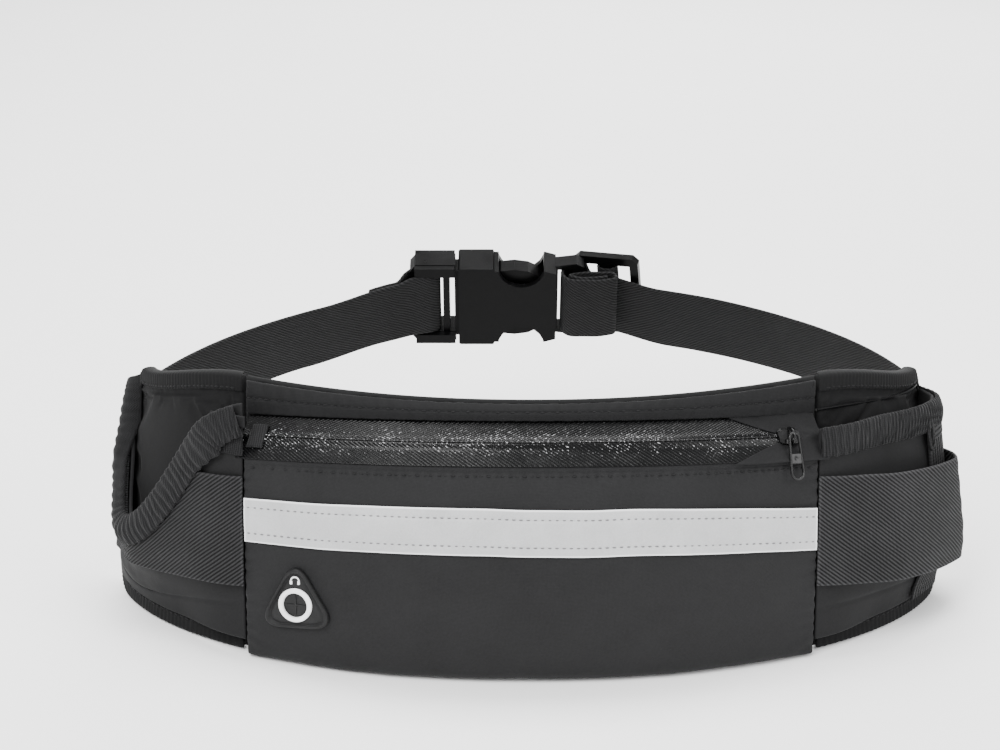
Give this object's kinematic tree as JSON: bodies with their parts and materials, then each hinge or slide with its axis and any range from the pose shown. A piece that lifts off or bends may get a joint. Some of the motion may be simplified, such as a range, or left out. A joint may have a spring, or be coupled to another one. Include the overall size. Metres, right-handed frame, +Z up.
{
  "type": "running waist pack",
  "caption": "Curved running waist pack with a zipped pouch, elastic side pockets, a bottle band and an elastic strap closed by a side-release buckle.",
  "frame": {"origin": "bottom centre of the whole pack's box, on the surface it stands on", "axes": "+Z up, the pouch faces -Y, +X to the right of someone facing the pouch, the buckle at +Y"},
  "size_m": [0.3992, 0.274, 0.1184],
  "materials": {
    "smooth_knit": "matte smooth lycra-faced neoprene",
    "padded_mesh": "matte padded spacer mesh",
    "ribbed_elastic": "ribbed woven elastic",
    "strap_elastic": "twill woven elastic webbing",
    "coated_tape": "glossy coated twill zip tape",
    "zip_coil": "glossy nylon coil",
    "reflective": "satin reflective tape with stitched edges",
    "rubber_patch": "matte moulded rubber",
    "white_rubber": "satin white rubber",
    "buckle_plastic": "satin moulded acetal",
    "zip_metal": "glossy black enamel"
  },
  "bodies": {
    "pack": {"back_panel": "padded_mesh", "left_wing_pad": "padded_mesh", "right_wing_pad": "padded_mesh", "front_panel": "smooth_knit", "top_hem": "smooth_knit", "zip_tape_lower": "coated_tape", "zip_tape_upper": "coated_tape", "zip_coil": "zip_coil", "zip_end_tab": "ribbed_elastic", "reflective_strip": "reflective", "earphone_port_patch": "rubber_patch", "earphone_port_ring": "white_rubber", "left_pocket_front": "smooth_knit", "left_pocket_binding": "ribbed_elastic", "left_elastic_band": "ribbed_elastic", "right_pocket_front": "smooth_knit", "right_pocket_binding": "ribbed_elastic", "right_bottle_band": "ribbed_elastic", "right_bottle_sling": "ribbed_elastic", "left_strap": "strap_elastic", "right_strap": "strap_elastic", "right_strap_loop": "strap_elastic", "buckle_socket": "buckle_plastic"},
    "plug": {"buckle_plug": "buckle_plastic", "left_strap_tail": "strap_elastic"},
    "prong_upper": {"buckle_prong_upper": "buckle_plastic"},
    "prong_lower": {"buckle_prong_lower": "buckle_plastic"},
    "adjuster": {"strap_adjuster": "buckle_plastic"},
    "zip_slider_body": {"zip_slider": "zip_metal"},
    "zip_pull_body": {"zip_pull": "zip_metal"}
  },
  "joints": [
    {"name": "buckle_release", "type": "slide", "parent": "pack", "child": "plug", "axis": [-1, 0, 0], "range_m": [0, 0.045], "deforming": ["left_strap"]},
    {"name": "prong_squeeze_upper", "type": "hinge", "parent": "plug", "child": "prong_upper", "pos_m": [-0.02763, 0.11268, 0.10384], "axis": [0, 0.9397, 0.342], "range_deg": [0, 8], "stiffness_Nm_per_rad": 0.3},
    {"name": "prong_squeeze_lower", "type": "hinge", "parent": "plug", "child": "prong_lower", "pos_m": [-0.02763, 0.12129, 0.08016], "axis": [0, 0.9397, 0.342], "range_deg": [-8, 0], "stiffness_Nm_per_rad": 0.3},
    {"name": "adjuster_slide", "type": "hinge", "parent": "pack", "child": "adjuster", "pos_m": [-0.01233, -0.07232, 0.091], "axis": [0, 0, 1], "range_deg": [-22, 0], "deforming": ["right_strap_loop"]},
    {"name": "zip_slide", "type": "hinge", "parent": "pack", "child": "zip_slider_body", "pos_m": [-0.00163, 0.15872, 0.02819], "axis": [0, 0.2696, 0.963], "range_deg": [-46.8, 0]},
    {"name": "zip_pull_swing", "type": "hinge", "parent": "zip_slider_body", "child": "zip_pull_body", "pos_m": [0.11296, -0.09326, 0.10032], "axis": [0.9162, 0.3858, -0.108], "range_deg": [-110, 0]}
  ],
  "couplings": [
    {"joint": "prong_squeeze_lower", "follows": "prong_squeeze_upper", "ratio": -1}
  ]
}
